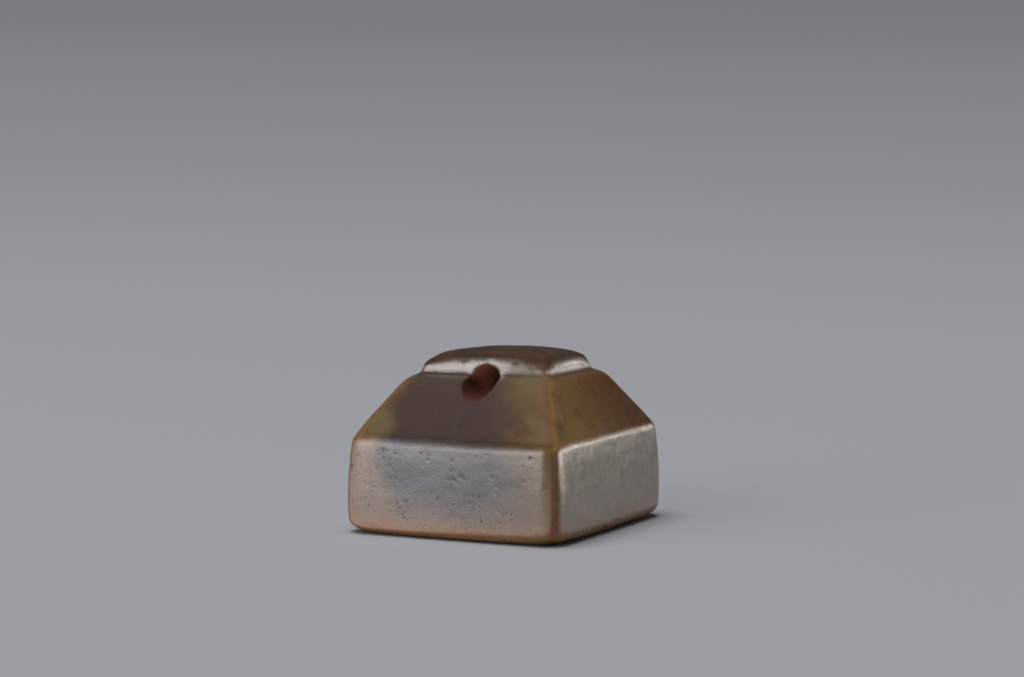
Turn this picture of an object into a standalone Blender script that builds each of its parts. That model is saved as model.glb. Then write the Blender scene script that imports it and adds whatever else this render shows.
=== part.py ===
"""A small stone stamp seal, cut from one pebble of brown chalcedony.

The body is a low block whose walls pull in a little towards the top. Four slopes run up
from it to a rounded shoulder, and a low oblong boss stands on that shoulder. A bore for a
cord runs from front to back through the foot of the boss. The flat underside is the sealing
face, with a plain rosette inside a line border cut into it.

The frame: X runs along the bored front wall, Y from the front to the back, and Z up. The
origin is the middle of the sealing face. Sizes are in millimetres and become metres when
a mesh is made. A half size is measured from the middle, and a lean is a slope, in
millimetres for each millimetre.
"""

import math
from dataclasses import astuple, dataclass

import bmesh
import bpy
from mathutils import Matrix, Vector

MM = 0.001

# The block
BASE_WIDTH = 17.85
BASE_DEPTH = 19.45
WALL_HEIGHT = 7.1
WALL_DRAFT = 0.4
WALL_BOW = 0.08
WALL_SWELL = 0.1
FOOT_EDGE = 1.2
FOOT_CORNER = 1.65
FOOT_CORNER_LIFT = 0.26
TOP_EDGE = 0.38
TOP_CORNER = 1.1

# The slopes and the shoulder
SLOPE_RISE = 4.23
SLOPE_RUN_X = 2.58
SLOPE_RUN_Y = 3.92
SHOULDER_CORNER = 0.75
SHOULDER_EDGE = 0.9
LEDGE_X = 0.58
LEDGE_Y = 1.45
LEDGE_RISE = 0.28

# The boss, worn lower at its corners and standing a little higher at its +X end
BOSS_DRAFT = 0.32
BOSS_FOOT_FILLET = 0.3
BOSS_CORNER = 0.5
BOSS_EDGE = 0.65
BOSS_CORNER_DROP = 0.48
BOSS_CROWN = 0.28
BOSS_TILT = 0.08
CROWN_TILT = 0.15

# The bore, drilled a little askew from both sides to meet at the throat
MOUTH_RADIUS = 1.37
THROAT_RADIUS = 0.8
THROAT_BELOW_SHOULDER = 0.34
DRILL_LEAN_X = 0.09
DRILL_LEAN_Z = 0.078
ROOF_OVER_MOUTH = 0.3

# The sealing face
ENGRAVING_DEPTH = 0.5
PETAL_COUNT = 8
PETAL_START = 1.4
PETAL_GAP = 0.9
ROSETTE_MARGIN = 1.0
DOT_RADIUS = 0.6
DOT_MARGIN = 1.3
BORDER_MARGIN = 0.7
BORDER_CORNER = 1.0
BORDER_LINE_WIDTH = 0.5
BORDER_LINE_DEPTH = 0.28

# Fineness of the faceted surface
CORNER_STEPS = 5
SIDE_STEPS = 6
EDGE_STEPS = 4
RUN_STEP = 1.0
CROWN_STEPS = 4
BORE_STEPS = 28

# The most of a run that the rounding at one of its ends may take
EASED_SHARE = 0.48

CUT_MARGIN = 1.0
SAME_POINT = 0.001


@dataclass
class Level:
    """One level of the body: a rounded rectangle, and how it departs from a flat one."""

    half_x: float
    half_y: float
    z: float
    corner: float
    drop: float = 0.0
    bow: float = 0.0
    tilt: float = 0.0

    def mixed(self, other, share):
        """The level that lies this share of the way to the other one."""
        pairs = zip(astuple(self), astuple(other))
        return Level(*(a + (b - a) * share for a, b in pairs))

    def distance(self, other):
        """The mean distance to the other level along the X and the Y outline."""
        rise = other.z - self.z
        along_x = math.hypot(other.half_x - self.half_x, rise)
        along_y = math.hypot(other.half_y - self.half_y, rise)
        return (along_x + along_y) / 2

    def swollen(self, swell):
        """The same level with all its sides moved out."""
        return Level(self.half_x + swell, self.half_y + swell, *astuple(self)[2:])


def half_sizes():
    """Half the width and depth of the foot, the top of the walls, the shoulder and the boss."""
    foot = Vector((BASE_WIDTH / 2, BASE_DEPTH / 2))
    top = foot - Vector((WALL_DRAFT, WALL_DRAFT))
    shoulder = top - Vector((SLOPE_RUN_X, SLOPE_RUN_Y))
    boss = shoulder - Vector((LEDGE_X, LEDGE_Y))
    return foot, top, shoulder, boss


def shoulder_height():
    return WALL_HEIGHT + SLOPE_RISE


def mouth_distance():
    """How far from the middle the bore reaches its full radius: at the edge of the shoulder."""
    shoulder = half_sizes()[2]
    return shoulder.y


def bore_centre(y):
    """The middle of the bore at this distance to the front or the back."""
    throat_z = shoulder_height() - THROAT_BELOW_SHOULDER
    return Vector((abs(y) * DRILL_LEAN_X, y, throat_z + abs(y) * DRILL_LEAN_Z))


def crown_height():
    """The height of the boss's edge, which leaves a roof of stone over the bore's mouth."""
    return bore_centre(mouth_distance()).z + MOUTH_RADIUS + ROOF_OVER_MOUTH


def body_knots():
    """The corners of the body's profile, from the sealing face up to the crown."""
    foot, top, shoulder, boss = half_sizes()
    ledge_z = shoulder_height() + LEDGE_RISE
    crown_z = crown_height()
    flat = foot - 2 * Vector((FOOT_EDGE, FOOT_EDGE))
    lip = boss - Vector((BOSS_DRAFT, BOSS_DRAFT))
    return [
        Level(*flat, 0, FOOT_CORNER),
        Level(*foot, 0, FOOT_CORNER, drop=-FOOT_CORNER_LIFT, bow=WALL_BOW),
        Level(*top, WALL_HEIGHT, TOP_CORNER, bow=WALL_BOW),
        Level(*shoulder, shoulder_height(), SHOULDER_CORNER, tilt=BOSS_TILT),
        Level(*boss, ledge_z, BOSS_CORNER, tilt=BOSS_TILT),
        Level(*lip, crown_z, BOSS_CORNER, drop=BOSS_CORNER_DROP, tilt=CROWN_TILT),
        Level(*boss / 2, crown_z + BOSS_CROWN, BOSS_CORNER / 2, BOSS_CORNER_DROP / 2, tilt=CROWN_TILT / 2),
    ]


def eased(before, knot, after, setback):
    """Levels that turn from one run into the next along a quadratic curve."""
    enter = knot.mixed(before, min(setback / knot.distance(before), EASED_SHARE))
    leave = knot.mixed(after, min(setback / knot.distance(after), EASED_SHARE))
    levels = []
    for step in range(EDGE_STEPS + 1):
        share = step / EDGE_STEPS
        levels.append(enter.mixed(knot, share).mixed(knot.mixed(leave, share), share))
    return levels


def run_between(lower, upper, swell):
    """Levels that part a long run, moved out in its middle by the swell."""
    count = max(1, round(lower.distance(upper) / RUN_STEP))
    levels = []
    for step in range(1, count):
        share = step / count
        levels.append(lower.mixed(upper, share).swollen(swell * 4 * share * (1 - share)))
    return levels


def body_levels():
    """All the levels of the body, from the sealing face to the middle of the crown."""
    knots = body_knots()
    setbacks = [FOOT_EDGE, TOP_EDGE, SHOULDER_EDGE, BOSS_FOOT_FILLET, BOSS_EDGE]
    swells = [0, WALL_SWELL, 0, 0, 0]
    levels = []
    for before, knot, after, setback, swell in zip(knots, knots[1:], knots[2:], setbacks, swells):
        turn = eased(before, knot, after, setback)
        if levels:
            levels += run_between(levels[-1], turn[0], swell)
        levels += turn
    # The sealing face is flat right out to where the rounding of the foot starts
    levels[0].drop = 0
    return levels + crown_levels(levels[-1])


def crown_levels(edge):
    """Levels that close the crown from its edge in towards its highest point."""
    levels = []
    for step in range(1, CROWN_STEPS):
        share = 1 - step / CROWN_STEPS
        level = Level(*(value * share for value in astuple(edge)))
        level.z = edge.z + BOSS_CROWN * (1 - share**2)
        level.drop = edge.drop * share**4
        levels.append(level)
    return levels


def outline_of(level):
    """The flat outline of one level, anticlockwise seen from above."""
    points = []
    for quarter in range(4):
        turn = quarter * math.pi / 2
        sign_x = 1 if quarter in (0, 3) else -1
        sign_y = 1 if quarter in (0, 1) else -1
        centre = Vector((sign_x * (level.half_x - level.corner), sign_y * (level.half_y - level.corner)))
        for step in range(CORNER_STEPS + 1):
            angle = turn + step / CORNER_STEPS * math.pi / 2
            points.append(centre + level.corner * Vector((math.cos(angle), math.sin(angle))))
        start = points[-1]
        end = Vector((-start.x, start.y)) if quarter in (0, 2) else Vector((start.x, -start.y))
        outward = Vector((math.cos(turn + math.pi / 2), math.sin(turn + math.pi / 2)))
        for step in range(1, SIDE_STEPS):
            share = step / SIDE_STEPS
            swell = level.bow * 4 * share * (1 - share)
            points.append(start.lerp(end, share) + outward * swell)
    return points


def ring_of(level):
    """The points of one level, with its corners dropped and its +X side raised."""
    ring = []
    for point in outline_of(level):
        cornerness = (abs(point.x) / level.half_x * abs(point.y) / level.half_y) ** 3
        z = level.z - level.drop * cornerness + level.tilt * point.x / level.half_x
        ring.append(Vector((point.x, point.y, z)) * MM)
    return ring


def circle_of(radius, centre):
    """A circle of the bore, clockwise seen from the front."""
    ring = []
    for step in range(BORE_STEPS):
        angle = 2 * math.pi * step / BORE_STEPS
        spoke = Vector((-math.sin(angle), 0, math.cos(angle)))
        ring.append((centre + radius * spoke) * MM)
    return ring


def lofted(name, rings):
    """An object whose skin runs from ring to ring, closed flat at its foot and by a fan on top."""
    shape = bmesh.new()
    rows = skinned(shape, rings)
    shape.faces.new(reversed(rows[0]))
    lid = shape.faces.new(rows[-1])
    bmesh.ops.poke(shape, faces=[lid])
    return placed(name, shape)


def looped(name, rings):
    """An object whose skin runs from ring to ring and back to the first, like a picture frame."""
    shape = bmesh.new()
    skinned(shape, rings + rings[:1])
    bmesh.ops.remove_doubles(shape, verts=shape.verts, dist=SAME_POINT * MM)
    return placed(name, shape)


def skinned(shape, rings):
    """Lays a skin from each ring to the next, and returns the rows of points."""
    rows = [[shape.verts.new(point) for point in ring] for ring in rings]
    for lower, upper in zip(rows, rows[1:]):
        for here in range(len(lower)):
            after = (here + 1) % len(lower)
            shape.faces.new((lower[here], lower[after], upper[after], upper[here]))
    return rows


def placed(name, shape):
    """Turns a bmesh into an object of the scene, with its faces pointing out."""
    bmesh.ops.recalc_face_normals(shape, faces=shape.faces)
    mesh = bpy.data.meshes.new(name)
    shape.to_mesh(mesh)
    shape.free()
    thing = bpy.data.objects.new(name, mesh)
    bpy.context.scene.collection.objects.link(thing)
    return thing


def made_cutter(thing):
    """Marks an object as a helper that only cuts."""
    thing.hide_render = True
    thing.display_type = "WIRE"
    return thing


def bore_cutter():
    """Two leaning cones, one from the front and one from the back, that meet at the throat."""
    reach = BASE_DEPTH / 2 + CUT_MARGIN
    mouth = mouth_distance()
    rings = [
        circle_of(MOUTH_RADIUS, bore_centre(-reach)),
        circle_of(MOUTH_RADIUS, bore_centre(-mouth)),
        circle_of(THROAT_RADIUS, bore_centre(0)),
        circle_of(MOUTH_RADIUS, bore_centre(mouth)),
        circle_of(MOUTH_RADIUS, bore_centre(reach)),
    ]
    return made_cutter(lofted("bore_cutter", rings))


def add_scoop(shape, centre, turn, length, width, depth):
    """One hollow as a wheel or drill leaves it: the lower half of an ellipsoid sunk in the face."""
    place = Matrix.Translation(Vector((*centre, 0)) * MM) @ Matrix.Rotation(turn, 4, "Z")
    size = Matrix.Diagonal((length / 2 * MM, width / 2 * MM, depth * MM, 1))
    bmesh.ops.create_uvsphere(shape, u_segments=16, v_segments=8, radius=1, matrix=place @ size)


def add_rosette(shape, reach):
    """Petals round an uncut middle, each as wide as its neighbours leave room for."""
    length = reach - PETAL_START
    middle = PETAL_START + length / 2
    width = 2 * middle * math.sin(math.pi / PETAL_COUNT) - PETAL_GAP
    for petal in range(PETAL_COUNT):
        angle = 2 * math.pi * petal / PETAL_COUNT
        centre = (middle * math.cos(angle), middle * math.sin(angle))
        add_scoop(shape, centre, angle, length, width, ENGRAVING_DEPTH)


def border_line():
    """Half the width and depth of the border, along the middle of its line."""
    return half_sizes()[0] - Vector((1, 1)) * (FOOT_EDGE + BORDER_MARGIN)


def border_cutter():
    """The border's groove: round at its corners, with sides that slope to a line."""
    side = BORDER_LINE_WIDTH / 2
    section = [(side, -CUT_MARGIN), (side, 0), (0, BORDER_LINE_DEPTH), (-side, 0), (-side, -CUT_MARGIN)]
    middle = Level(*border_line(), 0, BORDER_CORNER)
    rings = []
    for out, z in section:
        level = middle.swollen(out)
        level.corner += out
        level.z = z
        rings.append(ring_of(level))
    return made_cutter(looped("border_cutter", rings))


def rosette_cutter():
    """The rosette and a dot in each corner inside the border, all apart from each other."""
    shape = bmesh.new()
    border = border_line()
    dot = border - Vector((DOT_MARGIN, DOT_MARGIN))
    add_rosette(shape, min(border) - ROSETTE_MARGIN)
    for side in (-1, 1):
        for end in (-1, 1):
            add_scoop(shape, (side * dot.x, end * dot.y), 0, 2 * DOT_RADIUS, 2 * DOT_RADIUS, ENGRAVING_DEPTH)
    return made_cutter(placed("rosette_cutter", shape))


def cut(thing, cutter):
    """Takes the cutter's volume out of the thing."""
    boolean = thing.modifiers.new(cutter.name, "BOOLEAN")
    boolean.operation = "DIFFERENCE"
    boolean.solver = "EXACT"
    boolean.object = cutter


def chalcedony():
    """Brown chalcedony with a polished skin."""
    material = bpy.data.materials.new("brown_chalcedony")
    material.use_nodes = True
    shader = material.node_tree.nodes["Principled BSDF"]
    shader.inputs["Base Color"].default_value = (0.16, 0.10, 0.055, 1)
    shader.inputs["Roughness"].default_value = 0.25
    shader.inputs["Metallic"].default_value = 0.0
    shader.inputs["IOR"].default_value = 1.54
    return material


def build():
    for old in list(bpy.data.objects):
        bpy.data.objects.remove(old)
    seal = lofted("stone_seal", [ring_of(level) for level in body_levels()])
    cut(seal, bore_cutter())
    cut(seal, border_cutter())
    cut(seal, rosette_cutter())
    seal.data.materials.append(chalcedony())
    seal.data.shade_smooth()
    seal.data.set_sharp_from_angle(angle=math.radians(35))


build()
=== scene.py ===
"""The looks of the stone seal: its worn skin as a fine mesh, its stone with painted light and shade
in parts of its colour, and a plain studio.

Lengths are in millimetres and become metres where an object is made. X runs along the bored
front wall, Y from the front to the back, Z up, and the middle of the sealing face is at the
origin. An azimuth of 0 is the side of the front wall, and 90 is the +X side.

A pair of limits says where a trait of the skin begins and where it is full. What faces the
front here also faces the back, and what faces +X also faces -X, unless it says otherwise.
"""

import math

import bmesh
import bpy
import numpy as np
from mathutils import Matrix, Vector, noise
from mathutils.kdtree import KDTree


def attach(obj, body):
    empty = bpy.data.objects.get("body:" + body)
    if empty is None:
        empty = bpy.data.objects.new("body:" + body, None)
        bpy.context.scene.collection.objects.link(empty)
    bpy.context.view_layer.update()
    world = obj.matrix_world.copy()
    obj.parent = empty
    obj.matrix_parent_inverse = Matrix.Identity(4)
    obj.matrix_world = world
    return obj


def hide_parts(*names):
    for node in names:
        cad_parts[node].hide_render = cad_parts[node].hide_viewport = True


MM = 0.001

# The camera, worked out from the lines and the outline of the seal in the photograph
CAMERA_PLACE = (99.3, -198.1, 33.4)
CAMERA_YAW = 26.51
CAMERA_PITCH = -4.98
CAMERA_LENS = 103.6
CAMERA_NEAR = 5
CAMERA_FAR = 10000

# The block, the shoulder and the boss of the frame's solid
WALL_TOP = 7.1
SHOULDER_TOP = 11.4
HALF_WIDTH = 8.94
HALF_DEPTH = 9.74

# The bore: the height of its middle, how far it leans to +X and rises per millimetre of Y,
# how far out its wall and its mouths lie, a length that keeps a division from failing on the
# middle line, and how squarely its wall faces inward
BORE_HEIGHT = SHOULDER_TOP - 0.41
BORE_LEAN = 0.09
BORE_RISE = 0.078
BORE_REACH = 1.75
BORE_END = 8.5
NEVER_ZERO = 0.01
BORE_INWARD = (0.60, 0.92)

# The sealing face: how squarely it faces down, and the height that its engraving stays below
UNDER_FACING = (0.80, 0.97)
UNDER_HEIGHT = 0.8

# The skin of the stone, and how far it is smoothed and blurred, in rounds
SKIN_STEP = 0.134
SKIN_SMOOTHING = 5
SMOOTHING_SHARE = 0.5
WELD_DISTANCE = 0.0005
FACING_BLUR = 4
NARROW_BLUR = 10
WIDE_BLUR = 160
SEED = 11

# How far each seed shifts the noise
NOISE_SHIFT = (17.3, 5.1, 9.7)

# How far the skin swells to make up for the smoothing, and how far its ground faces wander
SWELL = 0.06
SWELL_HEIGHT = (0.1, 0.8)
WANDER = 0.022
WANDER_SIZE = 3.2
WANDER_FINE = 0.5
WANDER_FINE_SIZE = 1.3
RIPPLE = 0.006
RIPPLE_SIZE = 0.55

# How far the front wall's top edge is rubbed down, over what height and depth, and along it
FRONT_EDGE_DROP = 0.2
FRONT_EDGE_HEIGHT = 0.8
FRONT_EDGE_DEPTH = (6.0, 8.0)
FRONT_EDGE_LENGTH = (0, 9)
FRONT_EDGE_FADE = 0.6

# The pits in the ground faces
FRONT_PITS = 130
OTHER_PITS = 70
PIT_RADIUS = (0.06, 0.11)
PIT_DEPTH = (0.012, 0.036)
PIT_REACH = 1.8
PIT_STEEPNESS = 1.6
PIT_CLUSTER_SIZE = 1.3
PIT_CLUSTER_POWER = 6.0
PIT_DARK = (0.010, 0.036)
FRONT_PIT_FACING = 0.93
FRONT_PIT_LOWEST = 0.8
FRONT_PIT_HIGHEST = 6.8

# The hairline crack at the -X end of the front wall
CRACK_HEIGHT = 5.05
CRACK_WAVE = 0.06
CRACK_WAVE_RATE = 5
CRACK_WIDTH = 0.10
CRACK_DEPTH = 0.06
CRACK_LENGTH = (7.85, 8.1)
CRACK_ON_FRONT = (6.8, 8.8)
CRACK_DARK = (0.015, 0.045)

# The flakes lost from the foot and from the boss: the middle, the radius and the depth
CHIPS = [
    ((8.8, -1.2, 0.25), 0.45, 0.16),
    ((8.6, 4.1, 0.2), 0.35, 0.10),
    ((-8.7, 5.5, 0.3), 0.5, 0.15),
    ((3.0, 9.6, 0.2), 0.45, 0.14),
    ((-4.4, -3.85, 12.9), 0.5, 0.07),
    ((-1.6, -3.85, 13.0), 0.6, 0.08),
    ((2.7, -3.9, 12.8), 0.45, 0.07),
    ((4.3, -3.9, 13.0), 1.1, 0.08),
    ((1.2, 3.85, 12.9), 0.6, 0.09),
]
CHIP_RAGGEDNESS = 0.25
CHIP_RAGGED_SIZE = 0.45
CHIP_SLOPE = (-1.0, -0.35)

# The dark cloud inside the stone, which leans to -X and narrows as it rises
CLOUD_MIDDLE_X = -0.5
CLOUD_MIDDLE_Z = 7.4
CLOUD_HALF_WIDTH = 5.9
CLOUD_HALF_HEIGHT = 6.9
CLOUD_LEAN = -0.22
CLOUD_TAPER = -0.20
CLOUD_POWER = 3.4
CLOUD_EDGE = (0.60, 1.16)
CLOUD_LUMPS = (0.10, 2.6)
CLOUD_FINE_LUMPS = (0.05, 0.9)

# Its -X edge is sharper than the other one, and steps inward at the foot of the slope
CLOUD_SHARP_MIDDLE = 0.88
CLOUD_SHARPNESS = 2.2
CLOUD_STEP = 0.14
CLOUD_STEP_STARTS = (WALL_TOP, WALL_TOP + 0.4)
CLOUD_STEP_ENDS = (7.8, 9.6)

# The pale panel on each wall of the block, rubbed stone with painted sheen on it: its margins, its
# middle, its form and its edge
FRONT_PANEL_MARGIN = 0.15
SIDE_PANEL_MARGIN = 0.3
PANEL_MIDDLE = 4.0
PANEL_TILT = 0.03
PANEL_HALF_HEIGHT = 3.35
PANEL_POWER = 9
PANEL_EDGE = (0.97, 1.06)
PANEL_TOP = WALL_TOP + 0.3
PANEL_FACING = 0.7
FRONT_FLAT = (0.72, 0.90)
SIDE_FLAT = (0.83, 0.96)
FACING_FRONT = (0.6, 0.8)

# How pale the walls are, rubbed and with painted sheen: everywhere, and more towards the foot and
# the -X end
FRONT_RUB_AND_SHEEN = 0.32
FRONT_RUB_AND_SHEEN_LOW = 0.54
FRONT_RUB_AND_SHEEN_END = 0.54
FRONT_RUB_AND_SHEEN_LENGTH = (-9, 7)
SIDE_RUB_AND_SHEEN = 0.41
SIDE_RUB_AND_SHEEN_LOW = 0.62
LOW_HEIGHT = (0.8, 6.0)

# The upper +X part of the front wall, which is less rubbed and has less painted sheen
LESS_RUB_AND_SHEEN = 0.28
LESS_RUB_AND_SHEEN_HEIGHT = (5.2, 6.6)
LESS_RUB_AND_SHEEN_LENGTH = (-8, 0)

# How speckled the walls are: all of them, the front, and the front over the cloud
SPECKLED = 0.25
SPECKLED_FRONT = 0.3
SPECKLED_CLOUD = 0.45

# The boss: how upright and how squarely its pale walls face, rubbed and with painted sheen, and how
# high they reach
BOSS_FOOT = SHOULDER_TOP + 0.25
BOSS_FRONT_UPRIGHT = (0.52, 0.76)
BOSS_FRONT_FACING = (0.70, 0.82)
BOSS_SIDE_UPRIGHT = (0.80, 0.93)
BOSS_SIDE_FACING = (0.54, 0.68)
BOSS_SIDE_TOP = (12.05, 12.45)
BOSS_SCUFFED_END = (0.6, 3.6)
BOSS_SCUFFED_LOSS = 0.8
BOSS_TOP_FACING = (0.25, 0.55)
BOSS_TOP_HEIGHT = SHOULDER_TOP + 0.75

# The side slopes, and the dark line above the front wall's edge
SLOPE_FOOT = WALL_TOP - 0.2
SLOPE_TOP = SHOULDER_TOP + 0.4
SIDE_SLOPE_FACING = (0.5, 0.75)
ALONG_SIDE = (-7.5, 6.5)
EDGE_LINE_HEIGHT = WALL_TOP + 0.25
EDGE_LINE_WIDTH = 0.2
EDGE_LINE_FACING = (0.4, 0.6)
EDGE_LINE_LENGTH = (-6.5, -5.5)

# The worn rim on the +X side of the bore's mouth, which takes a painted highlight, and the bore's
# floor near its mouths
RIM_REACH = (1.5, 1.8)
RIM_SIDE = (0.1, 0.7)
RIM_HEIGHT = (SHOULDER_TOP - 0.1, SHOULDER_TOP + 0.5)
RIM_BULGE = (0.004, 0.02)
BORE_FLOOR_FACING = (-0.45, 0.25)
BORE_FLOOR_DEPTH = (1.5, 4.0)

# The hollows, which take painted shade, and the thin edges, the foot and the upright corners, which
# take painted glow
HOLLOW_DIP = (0.004, 0.03)
THIN_BULGE = (0.03, 0.30)
THIN_FROM_BORE = (1.7, 2.6)
FOOT_HEIGHT = (0.3, 1.9)
FOOT_LENGTH = (-5, 6)
FOOT_FADE = 0.35
CORNER_REACH = (0.86, 0.97)

# The stone's colours, as linear red, green and blue; the sheen, glow, highlight and shade among
# them are painted light
HONEY = (0.165, 0.098, 0.050)
OLIVE = (0.188, 0.134, 0.068)
GOLD = (0.325, 0.190, 0.060)
CHESTNUT = (0.165, 0.068, 0.021)
RUSSET = (0.120, 0.052, 0.024)
UMBER = (0.080, 0.036, 0.017)
CLOUD = (0.093, 0.060, 0.050)
# Painted glow of light shining through the thin stone and along the foot
AMBER_GLOW = (0.500, 0.215, 0.068)
# Painted highlight on the bore's worn rim
RIM_HIGHLIGHT = (0.520, 0.440, 0.350)
# Painted glow, redder, low on the upright corners
CARNELIAN_GLOW = (0.300, 0.088, 0.034)
# Dark marks: painted shade in the hollows, and specks, the crack, the pits and a line above the
# front edge
GRIME_AND_SHADE = (0.030, 0.020, 0.014)
# Painted glow inside the bore, and a darker colour for the bore's floor
BORE_GLOW = (0.80, 0.48, 0.33)
BORE_FLOOR_DARK = (0.085, 0.032, 0.021)
TOP_BROWN = (0.034, 0.021, 0.012)
# Painted sheen on the rubbed walls: bluish over the cloud, warm at the margins, pale on the boss
BLUE_FROST_SHEEN = (0.100, 0.150, 0.205)
WARM_FROST_SHEEN = (0.325, 0.275, 0.250)
BOSS_FROST_SHEEN = (0.43, 0.395, 0.375)

# How strongly a colour is laid on where its trait is full
THIN_GLOW_SHARE = 0.25
FOOT_GLOW_SHARE = 0.75
TOP_SHARE = 0.85
RIM_HIGHLIGHT_SHARE = 0.8
EDGE_LINE_SHARE = 0.4
CRACK_SHARE = 0.8
PIT_SHARE = 0.3

# The patterns in the stone: noise with lumps of a size, then a step between two of its values
PATTERNS = {
    "olive patches": {"noise": {"size": 5.0, "detail": 1.5, "bend": 0.6}, "step": (0.36, 0.64)},
    "russet": {"noise": {"size": 3.0, "detail": 2, "bend": 1.2}, "step": (0.50, 0.72, 0.0, 0.55)},
    "umber": {
        "noise": {"size": 2.4, "detail": 3, "stretch": (1.6, 1.2, 0.8)},
        "step": (0.52, 0.75, 0.0, 0.45),
    },
    # The patches of the painted glow on the thin edges
    "amber": {"noise": {"size": 1.4}, "step": (0.3, 0.6, 0.5, 1.0)},
    "mottle": {"noise": {"size": 0.7, "detail": 5, "rough": 0.65}, "step": (0.3, 0.7, 0.82, 1.0)},
    # The patches of rubbing and painted sheen on the boss's walls
    "boss rub and sheen": {
        "noise": {"size": 0.9, "detail": 4, "rough": 0.6, "stretch": (1, 1, 1.5)},
        "step": (0.32, 0.5, 0.35, 1.0),
    },
    "top streaks": {
        "noise": {"size": 1.6, "detail": 4, "rough": 0.6, "stretch": (1.7, 0.5, 1), "bend": 0.8},
        "step": (0.36, 0.70, 0.0, 0.8),
    },
    # The patches of the painted shade in the hollows
    "hollow shade": {"noise": {"size": 0.6, "detail": 4}, "step": (0.35, 0.65, 0.3, 0.8)},
    "speck bands": {"noise": {"size": 1.7, "detail": 2}, "step": (0.42, 0.62)},
    "specks": {"noise": {"size": 0.18, "detail": 1.5}, "step": (0.59, 0.67, 0.0, 0.6)},
    "smear": {"noise": {"size": 1.1, "detail": 4, "rough": 0.6}, "step": (0.3, 0.7, 0.20, 0.30)},
}
GRAIN = {"size": 0.14, "detail": 3, "rough": 0.6}
SCRATCHES = {"size": 0.10, "detail": 2, "rough": 0.5, "stretch": (14, 14, 1)}

# The depth of the finest relief, and how much of the grain the polished slopes show
GRAIN_DEPTH = 0.018
SCRATCH_DEPTH = 0.002
SLOPE_GRAIN = 0.25

# How much a wall is rubbed and given painted sheen where its olive patches are gone, and what dulls
# the polish
OLIVE_FADE = 0.3
WALL_DULLER = 0.08
DULLER = {"pit": 0.15, "hollow": 0.15, "bore": 0.4, "under": 0.14, "top": 0.2, "scuffed": 0.2}

# How the stone takes light: its mirror strength outside and in the bore, and its inner glow
STONE_IOR = 1.54
STONE_MIRROR = 0.5
BORE_MIRROR = 0.05
GLOW_SHARE = 0.4
GLOW_REACH = (1.8, 0.8, 0.4)

# The lights, which face the seal: their place, width and height, and how brightly they glow
LIGHTS = {
    "overhead": {
        "azimuth": -40, "elevation": 82, "distance": 2000, "size": (1333, 1333), "glow": 5.15,
        "mirrored": False,
    },
    "front_fill": {
        "azimuth": -27, "elevation": 24, "distance": 1000, "size": (800, 500), "glow": 2.1,
    },
    "front_card": {
        "azimuth": -27, "elevation": 13.5, "distance": 600, "size": (420, 265), "glow": 4.0,
        "colour": (1, 0.985, 0.955), "lighting": False,
    },
    "right_card": {
        "azimuth": 143, "elevation": 5.5, "distance": 240, "size": (150, 28), "glow": 6.4,
        "colour": (1, 0.95, 0.86), "lighting": False,
    },
    "corner_card": {
        "azimuth": 118, "elevation": 5, "distance": 100, "size": (65, 30), "glow": 5.5,
        "colour": (1, 0.93, 0.80), "lighting": False,
    },
}
LIGHTS_AIM_HEIGHT = 7

# The sheet of paper: a flat floor that bends up ever more steeply, with painted shade that darkens
# it as it rises
SHEET_HUB = 0.001
SHEET_FLAT = 400
SHEET_FLAT_RINGS = (0.1, 0.2, 0.4, 0.6, 0.8, 1.0)
SHEET_REACH = 1200
SHEET_RISE = 700
SHEET_BEND = 2.8
SHEET_STEPS = 48
SHEET_SIDES = 96
SHEET_WELD = 1e-5
PAPER = (0.405, 0.425, 0.450)
PAPER_FAR_SHADE = (0.305, 0.323, 0.352)
PAPER_HIGH_SHADE = (0.070, 0.076, 0.085)
PAPER_FAR_HEIGHT = 60
PAPER_HIGH_HEIGHT = 240
PAPER_ROUGHNESS = 0.8

# The room's own dim light
ROOM_COLOUR = (0.5, 0.52, 0.56, 1)
ROOM_STRENGTH = 0.15


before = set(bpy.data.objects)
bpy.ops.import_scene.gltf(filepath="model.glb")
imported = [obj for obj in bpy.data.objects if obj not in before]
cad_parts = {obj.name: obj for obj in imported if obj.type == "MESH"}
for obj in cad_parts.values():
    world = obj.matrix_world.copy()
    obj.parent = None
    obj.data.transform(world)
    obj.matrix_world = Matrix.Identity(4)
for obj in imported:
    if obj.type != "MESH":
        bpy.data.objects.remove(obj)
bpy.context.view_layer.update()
random = np.random.default_rng(SEED)


def step_between(values, low, high):
    """0 below the first limit, 1 above the second, and a smooth step between them."""
    share = np.clip((values - low) / (high - low), 0, 1)
    return share * share * (3 - 2 * share)


def add_to_scene(name, data):
    """A new object in the scene that shows this mesh, light or camera."""
    thing = bpy.data.objects.new(name, data)
    bpy.context.scene.collection.objects.link(thing)
    return thing


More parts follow.
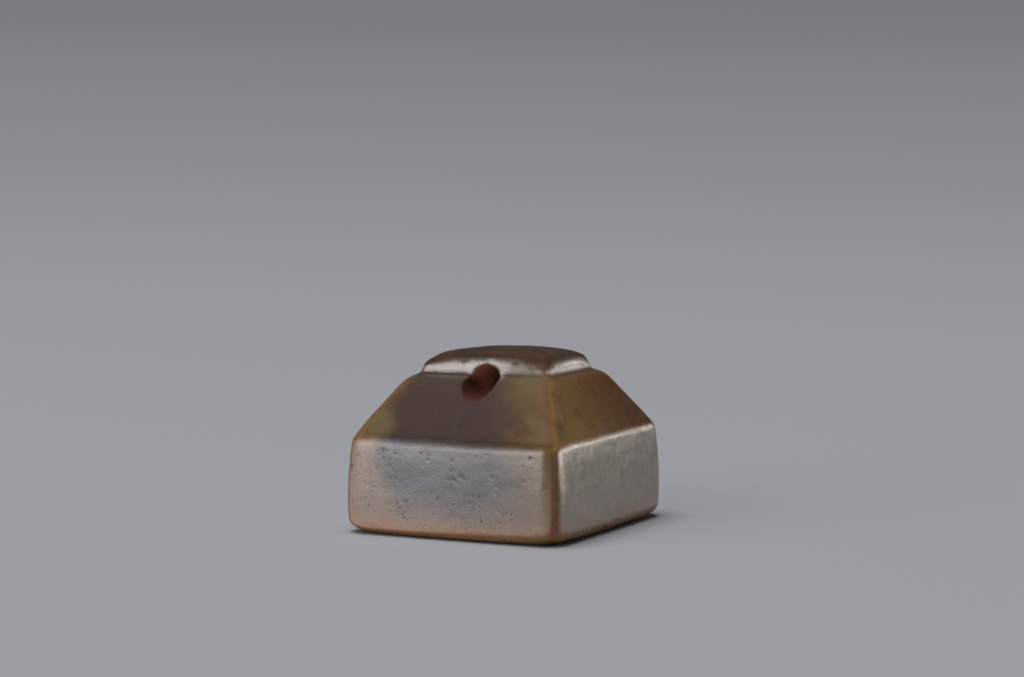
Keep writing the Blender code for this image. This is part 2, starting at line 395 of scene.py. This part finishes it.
class Skin:
    """The stone's surface as arrays of points, in millimetres."""

    def __init__(self, mesh):
        self.mesh = mesh
        self.count = len(mesh.vertices)
        edges = np.empty(len(mesh.edges) * 2, np.int64)
        mesh.edges.foreach_get("vertices", edges)
        self.ends = edges.reshape(-1, 2)
        self.neighbours = np.bincount(self.ends.ravel(), minlength=self.count)
        self.read()

    def read(self):
        """Reads the points and their normals from the mesh."""
        points = np.empty(self.count * 3)
        self.mesh.vertices.foreach_get("co", points)
        self.points = points.reshape(-1, 3)
        normals = np.empty(self.count * 3, np.float32)
        self.mesh.vertex_normals.foreach_get("vector", normals)
        self.normals = normals.reshape(-1, 3).astype(float)

    def sink(self, depth):
        """Sinks each point by its depth along its normal."""
        self.points = self.points - self.normals * depth[:, None]
        self.mesh.vertices.foreach_set("co", self.points.ravel())
        self.mesh.update()
        self.read()

    def blurred(self, values, rounds):
        """Averages each point's values with its neighbours', as many rounds as given."""
        first, second = self.ends.T
        for _ in range(rounds):
            total = np.empty_like(values)
            for column in range(values.shape[1]):
                near = np.bincount(first, values[second, column], self.count)
                far = np.bincount(second, values[first, column], self.count)
                total[:, column] = near + far
            values = (values + total / self.neighbours[:, None]) / 2
        return values

    def bulge(self, rounds):
        """How far each point stands out from its blurred surroundings, in millimetres."""
        return ((self.points - self.blurred(self.points, rounds)) * self.normals).sum(axis=1)

    def noise(self, size, seed):
        """Smooth noise between -1 and 1 whose lumps are about this size."""
        shift = Vector([seed * value for value in NOISE_SHIFT])
        return np.array([noise.noise(Vector(point) / size + shift) for point in self.points])

    def write(self, name, values):
        """Writes one number for each point into the mesh, for the material to read."""
        layer = self.mesh.attributes.new(name, "FLOAT", "POINT")
        layer.data.foreach_set("value", values.astype(np.float32))


def welded_copy(node):
    """The CAD solid's mesh in millimetres, with the points that meet made one."""
    shape = bmesh.new()
    shape.from_mesh(node.data)
    bmesh.ops.scale(shape, vec=(1 / MM,) * 3, verts=shape.verts)
    bmesh.ops.remove_doubles(shape, verts=shape.verts, dist=WELD_DISTANCE)
    mesh = bpy.data.meshes.new("skin_source")
    shape.to_mesh(mesh)
    shape.free()
    return mesh


def fine_copy(node):
    """The CAD solid as an even mesh of small quads, smoothed as handling wears a stone."""
    thing = add_to_scene("skin_source", welded_copy(node))
    remesh = thing.modifiers.new("remesh", "REMESH")
    remesh.mode = "VOXEL"
    remesh.voxel_size = SKIN_STEP
    smooth = thing.modifiers.new("smooth", "SMOOTH")
    smooth.factor = SMOOTHING_SHARE
    smooth.iterations = SKIN_SMOOTHING
    depsgraph = bpy.context.evaluated_depsgraph_get()
    fine = bpy.data.meshes.new_from_object(thing.evaluated_get(depsgraph))
    bpy.data.objects.remove(thing)
    return fine


def facing(skin):
    """Each point's normal, blurred a little, with the length of one."""
    normals = skin.blurred(skin.normals, FACING_BLUR)
    return normals / np.linalg.norm(normals, axis=1)[:, None]


def turned_to_side(normals, limits):
    """1 where the skin faces +X or -X squarely."""
    return step_between(np.abs(normals[:, 0]), *limits)


def turned_to_front(normals, limits):
    """1 where the skin faces the front or the back squarely."""
    return step_between(np.abs(normals[:, 1]), *limits)


def beside_bore(skin):
    """How far +X and how far up each point is from the bore's middle line."""
    x, y, z = skin.points.T
    return x - np.abs(y) * BORE_LEAN, z - (BORE_HEIGHT + np.abs(y) * BORE_RISE)


def inside_bore(skin, normals):
    """1 on the bore's wall and 0 on the outside of the stone."""
    right, up = beside_bore(skin)
    away = np.hypot(right, up)
    inward = -(normals[:, 0] * right + normals[:, 2] * up) / (away + NEVER_ZERO)
    near = (away < BORE_REACH) * (np.abs(skin.points[:, 1]) < BORE_END)
    return step_between(inward, *BORE_INWARD) * near


def under_face(skin, normals):
    """1 on the sealing face and in its engraving, and 0 elsewhere."""
    return step_between(-normals[:, 2], *UNDER_FACING) * (skin.points[:, 2] < UNDER_HEIGHT)


def pit_field(skin, weights, count):
    """The depth of small round pits at chance places, thickest where the weights are high."""
    tree = KDTree(skin.count)
    for index, point in enumerate(skin.points):
        tree.insert(point, index)
    tree.balance()
    depth = np.zeros(skin.count)
    chosen = random.choice(skin.count, count, p=weights / weights.sum())
    for index in chosen:
        radius = random.uniform(*PIT_RADIUS)
        deepest = random.uniform(*PIT_DEPTH)
        for _, near, distance in tree.find_range(skin.points[index], radius * PIT_REACH):
            here = deepest * math.exp(-((distance / radius) ** 2) * PIT_STEEPNESS)
            depth[near] = max(depth[near], here)
    return depth


def all_pits(skin, normals, outside):
    """The front wall's pits and the pits everywhere else on the outside."""
    z = skin.points[:, 2]
    front = (normals[:, 1] < -FRONT_PIT_FACING) & (z > FRONT_PIT_LOWEST) & (z < FRONT_PIT_HIGHEST)
    clusters = np.exp(PIT_CLUSTER_POWER * skin.noise(PIT_CLUSTER_SIZE, 4))
    front_pits = pit_field(skin, front * clusters, FRONT_PITS)
    other_pits = pit_field(skin, (outside > 0.5) * (~front) * clusters, OTHER_PITS)
    return np.maximum(front_pits, other_pits)


def wander_field(skin):
    """How far the ground faces sink below flat, with the swelling taken off."""
    wander = skin.noise(WANDER_SIZE, 1) + WANDER_FINE * skin.noise(WANDER_FINE_SIZE, 2)
    ripple = skin.noise(RIPPLE_SIZE, 3)
    above_foot = step_between(skin.points[:, 2], *SWELL_HEIGHT)
    return WANDER * wander + RIPPLE * ripple - SWELL * above_foot


def lower_front_edge(skin):
    """The top edge of the front wall is rubbed lower, most of all at its -X end."""
    x, y, z = skin.points.T
    rubbed = FRONT_EDGE_DROP * (1 - FRONT_EDGE_FADE * step_between(x, *FRONT_EDGE_LENGTH))
    rubbed *= step_between(-y, *FRONT_EDGE_DEPTH)
    skin.points[:, 2] -= rubbed * np.exp(-(((z - WALL_TOP) / FRONT_EDGE_HEIGHT) ** 2))
    skin.sink(np.zeros(skin.count))


def crack_field(skin):
    """A short hairline crack round the -X end of the front wall."""
    x, y, z = skin.points.T
    line = CRACK_HEIGHT + CRACK_WAVE * np.sin(x * CRACK_WAVE_RATE)
    across = np.exp(-(((z - line) / CRACK_WIDTH) ** 2))
    along = step_between(-x, *CRACK_LENGTH) * step_between(-y, *CRACK_ON_FRONT)
    return CRACK_DEPTH * across * along


def chip_field(skin):
    """Small ragged flakes lost from the foot and from the edges of the boss."""
    depth = np.zeros(skin.count)
    ragged = 1 + CHIP_RAGGEDNESS * skin.noise(CHIP_RAGGED_SIZE, 8)
    for place, radius, deepest in CHIPS:
        away = np.linalg.norm(skin.points - np.array(place), axis=1)
        depth = np.maximum(depth, deepest * step_between(-away / radius * ragged, *CHIP_SLOPE))
    return depth


def wear(skin):
    """Lets the ground faces wander a little, and sinks pits, a hairline crack and small flakes."""
    normals = facing(skin)
    outside = (1 - inside_bore(skin, normals)) * (1 - under_face(skin, normals))
    skin.sink(wander_field(skin) * outside)
    lower_front_edge(skin)
    pits = all_pits(skin, normals, outside)
    crack = crack_field(skin)
    skin.sink(pits + crack + chip_field(skin))
    skin.write("pit", step_between(pits, *PIT_DARK))
    skin.write("crack", step_between(crack, *CRACK_DARK))


def cloud_field(skin):
    """1 where the dark cloud inside the stone comes up to its surface, with a lumpy soft edge."""
    x, y, z = skin.points.T
    rise = z - CLOUD_MIDDLE_Z
    across = (x - CLOUD_MIDDLE_X - CLOUD_LEAN * rise) / (CLOUD_HALF_WIDTH + CLOUD_TAPER * rise)
    stepped = step_between(z, *CLOUD_STEP_STARTS) * (1 - step_between(z, *CLOUD_STEP_ENDS))
    across *= np.where(across < 0, 1 + CLOUD_STEP * stepped, 1)
    rise = rise / CLOUD_HALF_HEIGHT
    away = (np.abs(across) ** CLOUD_POWER + np.abs(rise) ** CLOUD_POWER) ** (1 / CLOUD_POWER)
    for seed, (strength, size) in ((6, CLOUD_LUMPS), (7, CLOUD_FINE_LUMPS)):
        away = away + strength * skin.noise(size, seed)
    sharper = CLOUD_SHARP_MIDDLE + (away - CLOUD_SHARP_MIDDLE) * CLOUD_SHARPNESS
    return 1 - step_between(np.where(across < 0, sharper, away), *CLOUD_EDGE)


def panel_distance(skin, normals):
    """How far out each point is on its wall's panel, which has rounded corners: 1 at its edge."""
    x, y, z = skin.points.T
    across_front = np.minimum(np.abs(x) / (HALF_WIDTH - FRONT_PANEL_MARGIN), 1)
    across_side = np.minimum(np.abs(y) / (HALF_DEPTH - SIDE_PANEL_MARGIN), 1)
    across = across_front * (np.abs(normals[:, 1]) > PANEL_FACING)
    across += across_side * (np.abs(normals[:, 0]) > PANEL_FACING)
    rise = np.abs(z - PANEL_MIDDLE - PANEL_TILT * x) / PANEL_HALF_HEIGHT
    return (across**PANEL_POWER + rise**PANEL_POWER) ** (1 / PANEL_POWER)


def rub_and_sheen_strength(skin, on_front, low):
    """How pale the block's walls are: rubbed by handling, and with painted sheen."""
    x, y, z = skin.points.T
    to_end = 1 - step_between(x, *FRONT_RUB_AND_SHEEN_LENGTH)
    front = FRONT_RUB_AND_SHEEN + FRONT_RUB_AND_SHEEN_LOW * low + FRONT_RUB_AND_SHEEN_END * to_end
    less = step_between(z, *LESS_RUB_AND_SHEEN_HEIGHT) * step_between(x, *LESS_RUB_AND_SHEEN_LENGTH)
    front -= LESS_RUB_AND_SHEEN * less
    side = SIDE_RUB_AND_SHEEN + SIDE_RUB_AND_SHEEN_LOW * low
    return on_front * front + (1 - on_front) * side


def describe_block(skin, normals):
    """The block's pale walls, rubbed and with painted sheen, their specks, and the dark cloud."""
    z = skin.points[:, 2]
    low = 1 - step_between(z, *LOW_HEIGHT)
    cloud = cloud_field(skin)
    on_front = turned_to_front(normals, FACING_FRONT)
    flat = np.maximum(turned_to_front(normals, FRONT_FLAT), turned_to_side(normals, SIDE_FLAT))
    panel = 1 - step_between(panel_distance(skin, normals), *PANEL_EDGE)
    # The pale walls: rubbed stone with painted sheen
    wall = flat * panel * (z < PANEL_TOP) * rub_and_sheen_strength(skin, on_front, low)
    skin.write("low", low)
    skin.write("cloud", cloud)
    skin.write("block_rub_and_sheen", wall)
    speckled = SPECKLED + SPECKLED_FRONT * on_front + SPECKLED_CLOUD * on_front * cloud
    skin.write("speckled", wall * speckled)


def describe_boss(skin, normals, bore):
    """The boss's pale walls, rubbed and with painted sheen, the scuffed end of its front, and its
    brown top.
    """
    x, y, z = skin.points.T
    upright = np.hypot(normals[:, 0], normals[:, 1])
    front = step_between(upright, *BOSS_FRONT_UPRIGHT) * turned_to_front(normals, BOSS_FRONT_FACING)
    side = step_between(upright, *BOSS_SIDE_UPRIGHT) * turned_to_side(normals, BOSS_SIDE_FACING)
    side *= 1 - step_between(z, *BOSS_SIDE_TOP)
    wall = np.maximum(front, side) * (z > BOSS_FOOT) * (1 - bore)
    at_scuffed_end = step_between(x * -np.sign(y), *BOSS_SCUFFED_END)
    scuffed = turned_to_front(normals, FACING_FRONT) * at_scuffed_end
    skin.write("scuffed", wall * scuffed)
    skin.write("boss_rub_and_sheen", wall * (1 - BOSS_SCUFFED_LOSS * scuffed))
    skin.write("top", step_between(normals[:, 2], *BOSS_TOP_FACING) * (z > BOSS_TOP_HEIGHT))


def describe_slopes(skin, normals):
    """The side slopes, how far back along them a point is, and the line above the front edge."""
    x, y, z = skin.points.T
    on_slope = (z > SLOPE_FOOT) * (z < SLOPE_TOP)
    skin.write("side_slope", turned_to_side(normals, SIDE_SLOPE_FACING) * on_slope)
    skin.write("along", step_between(y, *ALONG_SIDE))
    line = np.exp(-(((z - EDGE_LINE_HEIGHT) / EDGE_LINE_WIDTH) ** 2))
    line *= step_between(-normals[:, 1], *EDGE_LINE_FACING)
    skin.write("edge_line", line * step_between(x, *EDGE_LINE_LENGTH))


def describe_edges(skin, normals, bore):
    """The hollows that take painted shade, the bore's worn rim that takes a painted highlight, its
    floor, and where the stone is thin, which takes painted glow.
    """
    x, y, z = skin.points.T
    narrow = skin.bulge(NARROW_BLUR)
    wide = skin.bulge(WIDE_BLUR)
    away = np.hypot(*beside_bore(skin))
    at_mouth = (1 - step_between(away, *RIM_REACH)) * step_between(x, *RIM_SIDE) * (1 - bore)
    at_mouth *= step_between(z, *RIM_HEIGHT)
    # Where the painted highlight goes on the bore's worn rim
    skin.write("rim", step_between(narrow, *RIM_BULGE) * at_mouth)
    near_mouth = step_between(np.abs(y), *BORE_FLOOR_DEPTH)
    skin.write("bore_floor", step_between(normals[:, 2], *BORE_FLOOR_FACING) * near_mouth)
    # Where painted shade goes in the hollows
    skin.write("hollow", step_between(-narrow, *HOLLOW_DIP))
    # Where painted glow goes on thin stone
    skin.write("thin", step_between(wide, *THIN_BULGE) * step_between(away, *THIN_FROM_BORE))
    # Where painted glow goes along the foot and on the upright corners
    fade = 1 - FOOT_FADE * step_between(x, *FOOT_LENGTH)
    skin.write("foot", (1 - step_between(z, *FOOT_HEIGHT)) * fade)
    out = np.minimum(np.abs(x) / HALF_WIDTH, np.abs(y) / HALF_DEPTH)
    skin.write("corner", step_between(out, *CORNER_REACH))


def describe(skin):
    """Writes what the stone's colour and polish depend on, mostly as numbers from 0 to 1."""
    normals = facing(skin)
    bore = inside_bore(skin, normals)
    skin.write("bore", bore)
    skin.write("under", under_face(skin, normals))
    describe_block(skin, normals)
    describe_boss(skin, normals, bore)
    describe_slopes(skin, normals)
    describe_edges(skin, normals, bore)


def seal_piece():
    """The seal's worn skin, in place of the CAD solid."""
    fine = fine_copy(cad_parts["stone_seal"])
    skin = Skin(fine)
    wear(skin)
    describe(skin)
    fine.name = "seal_skin"
    fine.transform(Matrix.Scale(MM, 4))
    piece = add_to_scene("seal_stone", fine)
    fine.shade_smooth()
    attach(piece, "root")
    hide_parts("stone_seal")
    return piece


class Shading:
    """A material's nodes, with short ways to add and join them."""

    def __init__(self, name):
        self.material = bpy.data.materials.new(name)
        self.material.use_nodes = True
        self.nodes = self.material.node_tree.nodes
        self.links = self.material.node_tree.links
        self.shader = self.nodes["Principled BSDF"]
        self.place = self.nodes.new("ShaderNodeTexCoord").outputs["Object"]

    def put(self, socket, value):
        """Joins a socket to another one, or sets its plain value."""
        if isinstance(value, bpy.types.NodeSocket):
            self.links.new(value, socket)
        elif isinstance(value, tuple) and len(value) == 3 and socket.type == "RGBA":
            socket.default_value = (*value, 1)
        else:
            socket.default_value = value

    def attribute(self, name):
        """One of the numbers that the skin carries."""
        node = self.nodes.new("ShaderNodeAttribute")
        node.attribute_name = name
        return node.outputs["Fac"]

    def maths(self, operation, first, second):
        """A sum or a product, kept between 0 and 1."""
        node = self.nodes.new("ShaderNodeMath")
        node.operation = operation
        node.use_clamp = True
        self.put(node.inputs[0], first)
        self.put(node.inputs[1], second)
        return node.outputs[0]

    def between(self, value, low, high, to_low=0.0, to_high=1.0, smooth=True):
        """A step of a value between two limits, smooth or straight."""
        node = self.nodes.new("ShaderNodeMapRange")
        node.interpolation_type = "SMOOTHSTEP" if smooth else "LINEAR"
        self.put(node.inputs["Value"], value)
        node.inputs["From Min"].default_value = low
        node.inputs["From Max"].default_value = high
        node.inputs["To Min"].default_value = to_low
        node.inputs["To Max"].default_value = to_high
        return node.outputs["Result"]

    def mix(self, share, first, second, blend="MIX"):
        """The first colour with the second one mixed in, or added."""
        node = self.nodes.new("ShaderNodeMix")
        node.data_type = "RGBA"
        node.blend_type = blend
        self.put(node.inputs["Factor"], share)
        self.put(node.inputs["A"], first)
        self.put(node.inputs["B"], second)
        return node.outputs["Result"]

    def lay(self, under, over, *shares, blend="MIX"):
        """A colour with another one laid on it, by the product of the shares given."""
        share = shares[0]
        for value in shares[1:]:
            share = self.maths("MULTIPLY", share, value)
        return self.mix(share, under, over, blend)

    def noise(self, size, detail=3.0, rough=0.55, stretch=(1, 1, 1), bend=0.0):
        """Noise whose lumps are about this many millimetres wide."""
        mapping = self.nodes.new("ShaderNodeMapping")
        mapping.inputs["Scale"].default_value = [1 / (MM * size * value) for value in stretch]
        self.links.new(self.place, mapping.inputs["Vector"])
        node = self.nodes.new("ShaderNodeTexNoise")
        node.inputs["Scale"].default_value = 1.0
        node.inputs["Detail"].default_value = detail
        node.inputs["Roughness"].default_value = rough
        node.inputs["Distortion"].default_value = bend
        self.links.new(mapping.outputs["Vector"], node.inputs["Vector"])
        return node.outputs["Fac"]

    def pattern(self, name):
        """One of the stone's patterns, as a share."""
        return self.between(self.noise(**PATTERNS[name]["noise"]), *PATTERNS[name]["step"])

    def height(self):
        """The height above the floor, in millimetres."""
        node = self.nodes.new("ShaderNodeSeparateXYZ")
        self.links.new(self.place, node.inputs[0])
        scaled = self.nodes.new("ShaderNodeMath")
        scaled.operation = "MULTIPLY"
        scaled.inputs[1].default_value = 1 / MM
        self.links.new(node.outputs["Z"], scaled.inputs[0])
        return scaled.outputs[0]

    def bump(self, height, depth, below=None):
        """Fine relief of this depth in millimetres, on top of any relief given."""
        node = self.nodes.new("ShaderNodeBump")
        node.inputs["Distance"].default_value = depth * MM
        self.links.new(height, node.inputs["Height"])
        if below is not None:
            self.links.new(below, node.inputs["Normal"])
        return node.outputs["Normal"]


def body_colour(tree):
    """Honey and olive, gold to chestnut on the side slopes, with dark patches and the cloud."""
    off_walls = tree.between(tree.attribute("block_rub_and_sheen"), 0, OLIVE_FADE, 1.0, 0.0)
    body = tree.lay(HONEY, OLIVE, tree.pattern("olive patches"), off_walls)
    side = tree.lay(GOLD, CHESTNUT, tree.attribute("along"))
    body = tree.lay(body, side, tree.attribute("side_slope"))
    body = tree.lay(body, RUSSET, tree.pattern("russet"))
    body = tree.lay(body, UMBER, tree.pattern("umber"))
    return tree.lay(body, CLOUD, tree.attribute("cloud"))


def with_glow(tree, body):
    """Painted glow: amber where the stone is thin and along its foot, and redder low on its
    corners.
    """
    body = tree.lay(body, AMBER_GLOW, tree.attribute("thin"), tree.pattern("amber"), THIN_GLOW_SHARE)
    body = tree.lay(body, AMBER_GLOW, tree.attribute("foot"), FOOT_GLOW_SHARE)
    return tree.lay(body, CARNELIAN_GLOW, tree.attribute("low"), tree.attribute("corner"))


def with_frost_and_sheen(tree, body):
    """The rubbed walls with painted sheen, which is bluish over the cloud and warmer elsewhere."""
    frost_and_sheen = tree.lay(WARM_FROST_SHEEN, BLUE_FROST_SHEEN, tree.attribute("cloud"))
    frost_and_sheen = tree.lay(frost_and_sheen, WARM_FROST_SHEEN, tree.attribute("low"))
    wall = tree.attribute("block_rub_and_sheen")
    body = tree.lay(body, frost_and_sheen, wall, tree.pattern("mottle"), blend="ADD")
    wall = tree.attribute("boss_rub_and_sheen")
    return tree.lay(body, BOSS_FROST_SHEEN, wall, tree.pattern("boss rub and sheen"), blend="ADD")


def with_top_and_bore(tree, body):
    """The boss's streaked brown top, a painted highlight on the bore's worn rim, and painted glow
    in the bore, darker on its floor.
    """
    top = tree.lay(TOP_BROWN, RUSSET, tree.pattern("top streaks"))
    body = tree.lay(body, top, tree.attribute("top"), TOP_SHARE)
    # Painted highlight on the bore's worn rim
    body = tree.lay(body, RIM_HIGHLIGHT, tree.attribute("rim"), RIM_HIGHLIGHT_SHARE)
    # Painted glow in the bore, darker on its floor
    bore = tree.lay(BORE_GLOW, BORE_FLOOR_DARK, tree.attribute("bore_floor"))
    return tree.lay(body, bore, tree.attribute("bore"))


def with_grime_and_shade(tree, body):
    """Painted shade in the hollows, and dark specks, the line above the front edge, the crack and
    the pits.
    """
    # Painted shade in the hollows
    body = tree.lay(body, GRIME_AND_SHADE, tree.attribute("hollow"), tree.pattern("hollow shade"))
    specks = (tree.pattern("specks"), tree.pattern("speck bands"), tree.attribute("speckled"))
    body = tree.lay(body, GRIME_AND_SHADE, *specks)
    body = tree.lay(body, GRIME_AND_SHADE, tree.attribute("edge_line"), EDGE_LINE_SHARE)
    body = tree.lay(body, GRIME_AND_SHADE, tree.attribute("crack"), CRACK_SHARE)
    return tree.lay(body, GRIME_AND_SHADE, tree.attribute("pit"), PIT_SHARE)


def stone_colour(tree):
    """Chalcedony round a dark cloud, with painted glow where it is thin, pale rubbed walls with
    painted sheen, a painted highlight, painted shade in its hollows, and dark marks.
    """
    body = with_glow(tree, body_colour(tree))
    body = with_top_and_bore(tree, with_frost_and_sheen(tree, body))
    return with_grime_and_shade(tree, body)


def stone_polish(tree):
    """Roughness: glossy slopes, rubbed walls, and duller pits, hollows and sealing face."""
    walls = tree.between(tree.attribute("block_rub_and_sheen"), 0, 1, 0.0, WALL_DULLER)
    polish = tree.maths("ADD", tree.pattern("smear"), walls)
    for name, duller in DULLER.items():
        polish = tree.maths("ADD", polish, tree.maths("MULTIPLY", tree.attribute(name), duller))
    return polish


def stone_relief(tree):
    """Grain and scratches that are too fine for the mesh."""
    walls = tree.maths("ADD", tree.attribute("block_rub_and_sheen"), tree.attribute("boss_rub_and_sheen"))
    shown = tree.between(walls, 0, 1, SLOPE_GRAIN, 1.0)
    grain = tree.maths("MULTIPLY", tree.noise(**GRAIN), shown)
    relief = tree.bump(grain, GRAIN_DEPTH)
    return tree.bump(tree.noise(**SCRATCHES), SCRATCH_DEPTH, relief)


def stone():
    """Polished chalcedony that lets a little light in."""
    tree = Shading("chalcedony")
    shader = tree.shader
    tree.put(shader.inputs["Base Color"], stone_colour(tree))
    tree.put(shader.inputs["Roughness"], stone_polish(tree))
    tree.put(shader.inputs["Normal"], stone_relief(tree))
    mirror = tree.between(tree.attribute("bore"), 0, 1, STONE_MIRROR, BORE_MIRROR)
    tree.put(shader.inputs["Specular IOR Level"], mirror)
    shader.inputs["IOR"].default_value = STONE_IOR
    shader.inputs["Subsurface Weight"].default_value = GLOW_SHARE
    shader.inputs["Subsurface Radius"].default_value = GLOW_REACH
    shader.inputs["Subsurface Scale"].default_value = MM
    return tree.material


def direction(azimuth, elevation):
    """The way from the seal to a place at this azimuth and elevation, in degrees."""
    around, up = math.radians(azimuth), math.radians(elevation)
    level = math.cos(up)
    return Vector((math.sin(around) * level, -math.cos(around) * level, math.sin(up)))


def softbox(
    name, azimuth, elevation, distance, size, glow, colour=(1, 1, 1), mirrored=True, lighting=True
):
    """A flat light that faces the seal. Its glow is its radiance."""
    lamp = bpy.data.lights.new(name, "AREA")
    lamp.shape = "RECTANGLE"
    lamp.size = size[0] * MM
    lamp.size_y = size[1] * MM
    lamp.energy = glow * math.pi * lamp.size * lamp.size_y
    lamp.color = colour
    thing = add_to_scene(name, lamp)
    way = direction(azimuth, elevation)
    thing.location = (way * distance + Vector((0, 0, LIGHTS_AIM_HEIGHT))) * MM
    thing.rotation_mode = "QUATERNION"
    thing.rotation_quaternion = way.to_track_quat("Z", "Y")
    thing.visible_camera = False
    thing.visible_glossy = mirrored
    thing.visible_diffuse = lighting


def studio_lights():
    """A broad light overhead, a fill, and cards that only the polished stone mirrors."""
    for name, settings in LIGHTS.items():
        softbox(name, **settings)


def sheet_profile():
    """The sheet's form as distance and height pairs."""
    profile = [(SHEET_HUB, 0)] + [(SHEET_FLAT * share, 0) for share in SHEET_FLAT_RINGS]
    for step in range(1, SHEET_STEPS + 1):
        share = step / SHEET_STEPS
        profile.append((SHEET_FLAT + SHEET_REACH * share, SHEET_RISE * share**SHEET_BEND))
    return profile


def paper():
    """Plain paper, pale on the floor, with painted shade that darkens it as it rises far behind."""
    tree = Shading("paper")
    height = tree.height()
    # Painted shade: the paper darkens as it rises, and is palest near the seal
    colour = tree.mix(tree.between(height, 0, PAPER_FAR_HEIGHT, smooth=False), PAPER, PAPER_FAR_SHADE)
    high = tree.between(height, PAPER_FAR_HEIGHT, PAPER_HIGH_HEIGHT)
    colour = tree.mix(high, colour, PAPER_HIGH_SHADE)
    tree.put(tree.shader.inputs["Base Color"], colour)
    tree.shader.inputs["Roughness"].default_value = PAPER_ROUGHNESS
    tree.shader.inputs["Specular IOR Level"].default_value = 0.0
    return tree.material


def stage():
    """A pale sheet of paper all round the seal."""
    shape = bmesh.new()
    verts = [shape.verts.new((x * MM, 0, z * MM)) for x, z in sheet_profile()]
    edges = [shape.edges.new(pair) for pair in zip(verts, verts[1:])]
    turn = {"axis": (0, 0, 1), "cent": (0, 0, 0), "angle": 2 * math.pi}
    bmesh.ops.spin(shape, geom=verts + edges, steps=SHEET_SIDES, **turn)
    bmesh.ops.remove_doubles(shape, verts=shape.verts, dist=SHEET_WELD)
    bmesh.ops.recalc_face_normals(shape, faces=shape.faces)
    mesh = bpy.data.meshes.new("studio_floor")
    shape.to_mesh(mesh)
    shape.free()
    mesh.shade_smooth()
    floor = add_to_scene("studio_floor", mesh)
    mesh.materials.append(paper())


def surroundings():
    """The room's dim light, and plain colours in the picture."""
    world = bpy.data.worlds.new("room")
    bpy.context.scene.world = world
    world.use_nodes = True
    background = world.node_tree.nodes["Background"]
    background.inputs["Color"].default_value = ROOM_COLOUR
    background.inputs["Strength"].default_value = ROOM_STRENGTH
    bpy.context.scene.view_settings.view_transform = "Standard"


def camera():
    """The camera at the photograph's place and angle."""
    lens = bpy.data.cameras.new("camera")
    lens.lens = CAMERA_LENS
    lens.clip_start = CAMERA_NEAR * MM
    lens.clip_end = CAMERA_FAR * MM
    thing = add_to_scene("camera", lens)
    thing.location = Vector(CAMERA_PLACE) * MM
    thing.rotation_euler = (math.radians(90 + CAMERA_PITCH), 0, math.radians(CAMERA_YAW))
    bpy.context.scene.camera = thing


camera()
surroundings()
studio_lights()
stage()
piece = seal_piece()
piece.data.materials.clear()
piece.data.materials.append(stone())
